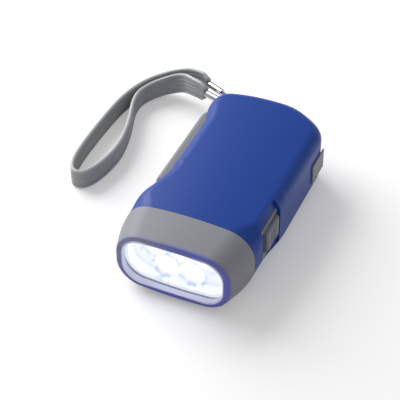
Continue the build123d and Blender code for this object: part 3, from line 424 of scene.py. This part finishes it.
@dataclass(frozen=True)
class LitSilver:
    """The reflector's bright plating, with the lamps' light painted on it as emission: lit on the
    cups, with painted shade in patches on a ring at each cup's mouth.
    """

    places: tuple[tuple[float, float], ...]
    mouth: float
    name: str = "lit_silver"
    colour: Colour = (150, 155, 165)
    lit: Colour = (240, 245, 253)
    shade: Colour = (176, 190, 214)
    roughness: float = 0.18
    glow: float = 0.95
    rim_inside: float = 0.7 * MM
    rim_start: float = 0.2 * MM
    rim_outside: float = 2.4 * MM
    patch: float = 3.2 * MM

    def make(self) -> bpy.types.Material:
        """Makes the material."""
        recipe = Recipe(self.name)
        point = recipe.point()
        nearest = None
        for x, z in self.places:
            flat = recipe.node(NodeKind.VECTOR, operation="MULTIPLY")
            recipe.feed(flat.inputs[0], point)
            flat.inputs[1].default_value = (1, 0, 1)
            off = recipe.node(NodeKind.VECTOR, operation="DISTANCE")
            recipe.feed(off.inputs[0], flat.outputs["Vector"])
            off.inputs[1].default_value = (x, 0, z)
            far = off.outputs["Value"]
            nearest = far if nearest is None else recipe.sum_of("MINIMUM", nearest, far)
        # Painted shade: a darker ring at each cup's mouth, broken into patches.
        inner = recipe.eased(nearest, self.mouth - self.rim_inside, self.mouth)
        outer = recipe.eased(nearest, self.mouth + self.rim_outside, self.mouth + self.rim_start)
        edge = recipe.sum_of("MULTIPLY", inner, outer)
        patches = recipe.eased(recipe.noise(point, self.patch, 3.0), 0.38, 0.62)
        edge = recipe.sum_of("MULTIPLY", edge, recipe.scaled(patches, 0.1, 1.0))
        colour = recipe.mixed(edge, linear(self.lit), linear(self.shade))
        recipe.shader.inputs["Base Color"].default_value = linear(self.colour)
        recipe.shader.inputs["Metallic"].default_value = 1.0
        recipe.shader.inputs["Roughness"].default_value = self.roughness
        # Painted light: the plating glows as if the lamps lit it, though it is no lamp.
        recipe.feed(recipe.shader.inputs["Emission Color"], colour)
        recipe.shader.inputs["Emission Strength"].default_value = self.glow
        return recipe.material


@dataclass(frozen=True)
class LampEpoxy:
    """A lamp's clear dome with its light on."""

    name: str = "lamp_epoxy"
    light: Colour = (236, 242, 255)
    epoxy: Colour = (243, 247, 255)
    strength: float = 2.2
    roughness: float = 0.08
    cloud: float = 1.2 * MM

    def make(self) -> bpy.types.Material:
        """Makes the material."""
        recipe = Recipe(self.name)
        cloud = recipe.noise(recipe.point(), self.cloud, 2.0)
        colour = recipe.mixed(cloud, linear(self.light), WHITE)
        recipe.feed(recipe.shader.inputs["Emission Color"], colour)
        recipe.shader.inputs["Emission Strength"].default_value = self.strength
        recipe.shader.inputs["Base Color"].default_value = linear(self.epoxy)
        recipe.shader.inputs["Roughness"].default_value = self.roughness
        return recipe.material


@dataclass(frozen=True)
class Laminate:
    """Circuit board with a solder mask and darker copper runs under it."""

    name: str = "board_laminate"
    colour: Colour = (24, 96, 52)
    run: float = 2.4 * MM
    deeper: float = 0.72
    depth: float = 0.02 * MM
    roughness: float = 0.35

    def make(self) -> bpy.types.Material:
        """Makes the material."""
        recipe = Recipe(self.name)
        point = recipe.point()
        runs = recipe.eased(recipe.cells(point, self.run), 0.42, 0.5)
        deep = tuple(self.deeper * part for part in self.colour)
        colour = recipe.mixed(runs, linear(self.colour), linear(deep))
        recipe.feed(recipe.shader.inputs["Base Color"], colour)
        recipe.feed(recipe.shader.inputs["Normal"], recipe.bumped(runs, self.depth))
        recipe.shader.inputs["Roughness"].default_value = self.roughness
        return recipe.material


@dataclass(frozen=True)
class Winding:
    """Enamelled copper wire in close turns."""

    name: str = "wound_wire"
    colour: Colour = (176, 92, 48)
    wire: float = 0.18 * MM
    deeper: float = 0.45
    depth: float = 0.05 * MM
    roughness: float = 0.35

    def make(self) -> bpy.types.Material:
        """Makes the material."""
        recipe = Recipe(self.name)
        turns = recipe.stripes(recipe.point(), self.wire, "Z")
        deep = tuple(self.deeper * part for part in self.colour)
        colour = recipe.mixed(turns, linear(deep), linear(self.colour))
        recipe.feed(recipe.shader.inputs["Base Color"], colour)
        recipe.shader.inputs["Metallic"].default_value = 0.9
        recipe.shader.inputs["Roughness"].default_value = self.roughness
        recipe.feed(recipe.shader.inputs["Normal"], recipe.bumped(turns, self.depth))
        return recipe.material


@dataclass(frozen=True)
class Webbing:
    """Ribbed polyester webbing, on a UV map whose units are millimetres.

    The weave's pick and end are the widths of its cross and long threads. The
    light rim starts rim_width before rim, counted from the middle line.
    """

    name: str
    colour: Colour
    light: Colour
    pick: float = 0.5
    end: float = 0.8
    rim: float = 4.5
    rim_width: float = 0.7
    rim_share: float = 0.7
    fuzz: float = 0.4 * MM
    patch: float = 7 * MM
    roughness: float = 0.78
    sheen: float = 0.25
    depth: float = 0.12 * MM

    def make(self) -> bpy.types.Material:
        """Makes the material."""
        recipe = Recipe(self.name)
        uv = recipe.uv()
        picks = recipe.stripes(uv, self.pick, "X")
        ends = recipe.stripes(uv, self.end, "Y")
        fuzz = recipe.noise(recipe.point(), self.fuzz, 4.0)
        weave = recipe.sum_of("MULTIPLY", picks, ends)
        weave = recipe.sum_of("ADD", weave, recipe.sum_of("MULTIPLY", fuzz, 0.5))
        patch = recipe.noise(recipe.point(), self.patch, 3.0)
        share = recipe.sum_of("MULTIPLY", weave, recipe.scaled(patch, 0.25, 0.75))
        across = recipe.sum_of("ABSOLUTE", recipe.part_of(uv, "Y"))
        rim = recipe.eased(across, self.rim - self.rim_width, self.rim)
        rim = recipe.sum_of("MULTIPLY", rim, self.rim_share)
        share = recipe.sum_of("MAXIMUM", share, rim)
        colour = recipe.mixed(share, linear(self.colour), linear(self.light))
        recipe.feed(recipe.shader.inputs["Base Color"], colour)
        recipe.shader.inputs["Roughness"].default_value = self.roughness
        recipe.shader.inputs["Sheen Weight"].default_value = self.sheen
        recipe.feed(recipe.shader.inputs["Normal"], recipe.bumped(weave, self.depth))
        return recipe.material


class Soft(Enum):
    """The soft pieces that the scene makes anew."""

    STRAP = "wrist_strap_band"
    LOOP = "lanyard_cord"


def linked(name: str, mesh: bpy.types.ID) -> bpy.types.Object:
    """Puts a mesh or curve in the scene as an object at the origin."""
    made = bpy.data.objects.new(name, mesh)
    bpy.context.scene.collection.objects.link(made)
    return made


def spline_curve(name: str, points: list[Point]) -> bpy.types.Curve:
    """A smooth open curve that a row of points pulls along.

    Args:
        name: The curve's name.
        points: The control points, in millimetres.

    Returns:
        The curve.
    """
    curve = bpy.data.curves.new(name, "CURVE")
    curve.dimensions = "3D"
    curve.resolution_u = 10
    curve.twist_mode = "Z_UP"
    spline = curve.splines.new("NURBS")
    spline.points.add(len(points) - 1)
    for held, point in zip(spline.points, points):
        held.co = (*in_metres(point), 1.0)
    spline.order_u = 3
    spline.use_endpoint_u = True
    return curve


def line_of(curve: bpy.types.Curve) -> list[Vector]:
    """The points along a curve's own line, in metres."""
    bare = linked("bare_line", curve.copy())
    bare.data.bevel_depth = 0.0
    bare.data.bevel_object = None
    mesh = bpy.data.meshes.new_from_object(bare)
    line = [vertex.co.copy() for vertex in mesh.vertices]
    bpy.data.meshes.remove(mesh)
    data = bare.data
    bpy.data.objects.remove(bare)
    bpy.data.curves.remove(data)
    return line


@dataclass
class WristStrap:
    """The flat ribbed strap that stands on its edge, from ferrule to ferrule.

    Sizes are in millimetres. Near its ends the strap is drawn in to
    gathered_width of its width and grows thicker by gathered_bulge.
    """

    width: float = 10.0
    thickness: float = 1.6
    ribs: int = 5
    rib_steps: int = 8
    rib_depth: float = 0.28
    rolled: float = 0.35
    rim_thickness: float = 0.05
    gathered_bulge: float = 0.5
    gather_length: float = 3.0
    gathered_width: float = 0.55
    route: tuple[Point, ...] = (
        (-35.68, 65.21, 15.0),
        (-41.2, 67.59, 15.0),
        (-49.5, 70.3, 11.0),
        (-57.5, 70.1, 7.5),
        (-64.5, 65.7, 5.6),
        (-69.3, 56.8, 5.05),
        (-71.6, 45.3, 5.05),
        (-72.2, 32.3, 5.05),
        (-72.4, 19.3, 5.05),
        (-72.1, 7.3, 5.05),
        (-71.0, -1.2, 5.05),
        (-68.4, -6.7, 5.05),
        (-63.5, -6.7, 5.05),
        (-60.2, -1.2, 5.05),
        (-58.2, 7.8, 5.05),
        (-57.6, 17.3, 5.05),
        (-59.2, 27.3, 5.05),
        (-62.0, 37.3, 5.05),
        (-65.2, 46.3, 5.05),
        (-66.2, 54.3, 5.05),
        (-62.8, 61.6, 5.6),
        (-56.5, 65.9, 7.5),
        (-49.0, 66.5, 11.0),
        (-40.9, 60.59, 15.0),
        (-34.06, 58.40, 15.0),
    )

    def section(self) -> bpy.types.Curve:
        """The strap's section, with ribs on both wide faces and rolled edges."""
        steps = self.rib_steps
        half_width, half_thick = self.width / 2, self.thickness / 2
        pitch = self.width / self.ribs
        side = []
        for step in range(self.ribs * steps + 1):
            across = -half_width + self.width * step / (self.ribs * steps)
            phase = math.pi * (step % steps) / steps
            crown = half_thick - self.rib_depth * (1 - math.sin(phase)) ** 2
            edge = min(1.0, (half_width - abs(across)) / (self.rolled * pitch))
            rolled = max(self.rim_thickness, 1 - (1 - edge) ** 2)
            side.append((across, crown * math.sqrt(rolled)))
        outline = side + [(across, -crown) for across, crown in reversed(side)]
        curve = bpy.data.curves.new("strap_section", "CURVE")
        curve.dimensions = "2D"
        spline = curve.splines.new("POLY")
        spline.points.add(len(outline) - 1)
        for held, (across, crown) in zip(spline.points, outline):
            held.co = (crown * MM, across * MM, 0.0, 1.0)
        spline.use_cyclic_u = True
        return curve

    def gathered(self, share: float) -> tuple[float, float]:
        """The strap's width and thickness, as shares of their own, near an end.

        Args:
            share: How far along the gathered stretch, from 0 at the ferrule.

        Returns:
            The two shares.
        """
        smooth = share * share * (3 - 2 * share)
        wide = self.gathered_width + (1 - self.gathered_width) * smooth
        return wide, 1.0 + self.gathered_bulge * (1 - smooth)

    def build(self) -> bpy.types.Object:
        """Sweeps the section along the route and gathers its ends.

        Returns:
            The strap's object.
        """
        curve = spline_curve("strap_line", list(self.route))
        line = line_of(curve)
        along = [0.0]
        for a, b in zip(line, line[1:]):
            along.append(along[-1] + (b - a).length)
        profile = linked("strap_profile", self.section())
        curve.bevel_mode = "OBJECT"
        curve.bevel_object = profile
        curve.use_fill_caps = True
        swept = linked("strap_swept", curve)
        bpy.context.view_layer.update()
        graph = bpy.context.evaluated_depsgraph_get()
        mesh = bpy.data.meshes.new_from_object(swept.evaluated_get(graph))
        bpy.data.objects.remove(swept)
        bpy.data.objects.remove(profile)
        work = bmesh.new()
        work.from_mesh(mesh)
        bmesh.ops.remove_doubles(work, verts=work.verts, dist=1e-6)
        uv = work.loops.layers.uv.verify()
        place = {}
        for vertex in work.verts:
            near = min(range(len(line)), key=lambda i: (line[i] - vertex.co).length_squared)
            off = vertex.co - line[near]
            place[vertex] = (along[near] / MM, off.z / MM)
            run = min(along[near], along[-1] - along[near]) / (self.gather_length * MM)
            if run < 1.0:
                wide, thick = self.gathered(run)
                vertex.co = line[near] + Vector((off.x * thick, off.y * thick, off.z * wide))
        for face in work.faces:
            face.smooth = True
            for loop in face.loops:
                loop[uv].uv = place[loop.vert]
        bmesh.ops.recalc_face_normals(work, faces=work.faces)
        work.to_mesh(mesh)
        work.free()
        strap = linked(Soft.STRAP.value, mesh)
        strap.data.materials.clear()
        webbing = Webbing("strap_webbing", (132, 134, 136), (220, 221, 222))
        strap.data.materials.append(webbing.make())
        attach(strap, "housing")
        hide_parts("wrist_strap")
        return strap


@dataclass
class LanyardCord:
    """The thin twisted cord that runs round the pin from ferrule to ferrule."""

    radius: float = 0.7
    height: float = 15.0
    route: tuple[tuple[float, float], ...] = (
        (-27.6, 61.73),
        (-20.4, 58.66),
        (-13.325, 55.592),
        (-13.017, 53.561),
        (-14.58, 52.226),
        (-20.1, 54.0),
        (-25.67, 55.74),
    )

    def build(self) -> bpy.types.Object:
        """Makes the cord.

        Returns:
            The cord's object.
        """
        points = [(x, y, self.height) for x, y in self.route]
        curve = spline_curve(Soft.LOOP.value, points)
        line = line_of(curve)
        curve.bevel_depth = self.radius * MM
        curve.bevel_resolution = 5
        curve.use_fill_caps = True
        cord = linked(Soft.LOOP.value, curve)
        curve.materials.append(Webbing("lanyard_weave", (120, 124, 128), (190, 193, 196)).make())
        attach(cord, "housing")
        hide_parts("lanyard_loop")
        return cord


@dataclass
class Torch:
    """The solids of the torch and the finish that each of them wears."""

    flange_radius: float = 2.9
    cup_mouth: float = 5.6

    def lamp_places(self) -> tuple[tuple[float, float], ...]:
        """Where the lamps stand, in metres, across and up."""
        low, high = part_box("leds")
        middle = (low.z + high.z) / 2
        rise = (high.z - low.z) / 2 - self.flange_radius * MM
        pitch = (high.x - low.x) / 2 - self.flange_radius * MM
        centre = (low.x + high.x) / 2
        upper = [(centre + step * pitch, middle + rise) for step in (-1, 0, 1)]
        lower = [(centre + step * pitch, middle - rise) for step in (-0.5, 0.5)]
        return (*upper, *lower)

    def finishes(self) -> dict[str, bpy.types.Material]:
        """Makes each material and names the solids that wear it.

        Returns:
            The material of every solid, by the solid's name.
        """
        blue = Plastic("blue_body", (24, 66, 156), roughness=0.42, depth=0.003 * MM)
        # The bezel wears painted lamp light on its lip and on the inner wall of its lens opening.
        bezel = LipPlastic("grey_bezel", (146, 147, 155), roughness=0.5)
        lever = Plastic("grey_lever", (140, 141, 145), roughness=0.5)
        switch = Plastic("grey_switch", (132, 136, 144), roughness=0.45)
        black = Plastic("black_inner", (26, 26, 28), roughness=0.5)
        nylon = Plastic("white_nylon", (226, 224, 214), roughness=0.4, flow=0.08)
        steel = Metal("bright_steel", (176, 178, 182), roughness=0.28)
        worn = {
            blue: ("body_shell_top", "body_shell_bottom"),
            bezel: ("bezel",),
            lever: ("squeeze_lever",),
            switch: ("switch_trim", "switch_knob", "lock_button"),
            black: ("coil_bobbin", "board_parts", "cell_holder", "switch_housing", "lock_bar"),
            nylon: ("drive_gear", "step_gear", "rotor_gear"),
            steel: (
                "lever_pin",
                "lever_spring",
                "drive_axle",
                "step_axle",
                "rotor_shaft",
                "stator_can",
                "pole_ring",
                "gear_plate",
                "plate_screws",
                "case_screws",
                "lanyard_pin",
            ),
            Metal("turned_brass", (196, 160, 84), roughness=0.3): ("flywheel", "cell_contacts"),
            Metal("sintered_magnet", (64, 64, 68), roughness=0.55): ("rotor_magnet",),
            Metal("cell_case", (188, 190, 192), roughness=0.2): ("button_cells",),
            Metal("chrome_ferrule", (226, 228, 232), roughness=0.16): (
                "ferrule_upper",
                "ferrule_lower",
            ),
            Winding(): ("coil_winding",),
            Laminate(): ("circuit_board", "led_board"),
            ClearCover(): ("lens",),
            LampEpoxy(): ("leds",),
            # The reflector wears the lamps' light and shade painted on as emission.
            LitSilver(self.lamp_places(), self.cup_mouth * MM): ("reflector",),
        }
        made = {}
        for finish, names in worn.items():
            material = finish.make()
            for name in names:
                made[name] = material
        return made

    def dress(self) -> None:
        """Gives every solid its finish."""
        made = self.finishes()
        for name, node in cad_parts.items():
            if name not in made:
                continue
            if not node.data.materials:
                node.data.materials.append(None)
            for index in range(len(node.data.materials)):
                node.data.materials[index] = made[name]
            log.info("dressed %s", name)


@dataclass
class Studio:
    """The pale floor, the soft light and the camera."""

    eye: Point = (168.62, -397.95, 402.83)
    azimuth: float = 24.305
    elevation: float = 42.188
    roll: float = -0.353
    focal: float = 1400.87 / 400 * 36
    floor_size: float = 8.0
    floor_colour: Point = (0.84, 0.83, 0.83)
    floor_lift: float = 0.25
    world_light: float = 0.42
    key_place: Point = (-700, 260, 560)
    key_aim: Point = (0, 0, 10)
    key_power: float = 9.3
    key_size: float = 0.7

    def camera(self) -> None:
        """Sets the camera at the photograph's angle."""
        around, up, roll = (math.radians(v) for v in (self.azimuth, self.elevation, self.roll))
        back = Vector(
            (math.sin(around) * math.cos(up), -math.cos(around) * math.cos(up), math.sin(up))
        )
        right = Vector((math.cos(around), math.sin(around), 0.0))
        above = back.cross(right)
        turned_right = right * math.cos(roll) + above * math.sin(roll)
        turned_above = above * math.cos(roll) - right * math.sin(roll)
        data = bpy.data.cameras.new("camera")
        data.lens = self.focal
        data.sensor_width = 36.0
        data.clip_start, data.clip_end = 0.01, 50.0
        camera = linked("camera", data)
        turn = Matrix((turned_right, turned_above, back)).transposed()
        camera.matrix_world = Matrix.Translation(in_metres(self.eye)) @ turn.to_4x4()
        bpy.context.scene.camera = camera

    def soft_box(self, name: str, place: Point, power: float, size: float, aim: Point) -> None:
        """Adds a square soft light.

        Args:
            name: The light's name.
            place: Where it hangs, in millimetres.
            power: Its power, in watts.
            size: The length of its side, in metres.
            aim: The point that it faces, in millimetres.
        """
        data = bpy.data.lights.new(name, "AREA")
        data.energy = power
        data.size = size
        light = linked(name, data)
        light.location = in_metres(place)
        away = in_metres(aim) - in_metres(place)
        light.rotation_mode = "QUATERNION"
        light.rotation_quaternion = away.to_track_quat("-Z", "Y")

    def floor(self) -> None:
        """Lays a large pale floor that keeps the shadow."""
        work = bmesh.new()
        bmesh.ops.create_grid(work, x_segments=1, y_segments=1, size=self.floor_size / 2)
        mesh = bpy.data.meshes.new("floor")
        work.to_mesh(mesh)
        work.free()
        recipe = Recipe("pale_floor")
        recipe.shader.inputs["Base Color"].default_value = (*self.floor_colour, 1.0)
        recipe.shader.inputs["Roughness"].default_value = 0.9
        recipe.shader.inputs["Specular IOR Level"].default_value = 0.1
        lift = recipe.node(NodeKind.EMISSION)
        path = recipe.node(NodeKind.PATH)
        looked_at, mirrored = path.outputs["Is Camera Ray"], path.outputs["Is Glossy Ray"]
        seen = recipe.sum_of("MAXIMUM", looked_at, mirrored)
        recipe.feed(lift.inputs["Strength"], recipe.sum_of("MULTIPLY", seen, self.floor_lift))
        both = recipe.node(NodeKind.ADD)
        recipe.feed(both.inputs[0], recipe.shader.outputs["BSDF"])
        recipe.feed(both.inputs[1], lift.outputs["Emission"])
        recipe.feed(recipe.output.inputs["Surface"], both.outputs["Shader"])
        mesh.materials.append(recipe.material)
        linked("floor", mesh)

    def world(self) -> None:
        """Surrounds the set with even white light."""
        world = bpy.data.worlds.new("studio")
        world.use_nodes = True
        tree = world.node_tree
        shade = tree.nodes["Background"]
        shade.inputs["Color"].default_value = WHITE
        path = tree.nodes.new(NodeKind.PATH.value)
        seen = tree.nodes.new(NodeKind.MATH.value)
        seen.operation = "MAXIMUM"
        tree.links.new(path.outputs["Is Camera Ray"], seen.inputs[0])
        tree.links.new(path.outputs["Is Transmission Ray"], seen.inputs[1])
        level = tree.nodes.new(NodeKind.RANGE.value)
        level.inputs["To Min"].default_value = self.world_light
        level.inputs["To Max"].default_value = 1.0
        tree.links.new(seen.outputs[0], level.inputs["Value"])
        tree.links.new(level.outputs["Result"], shade.inputs["Strength"])
        bpy.context.scene.world = world

    def build(self) -> None:
        """Builds the set."""
        self.floor()
        self.world()
        self.soft_box("key", self.key_place, self.key_power, self.key_size, self.key_aim)
        bpy.context.scene.view_settings.view_transform = "Standard"


def main() -> None:
    """Builds the scene."""
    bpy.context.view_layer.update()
    studio = Studio()
    studio.camera()
    for maker in (WristStrap(), LanyardCord()):
        piece = maker.build()
        log.info("made %s", piece.name)
    Torch().dress()
    studio.build()


if __name__ == "__main__":
    logging.basicConfig(level=logging.INFO)
    main()
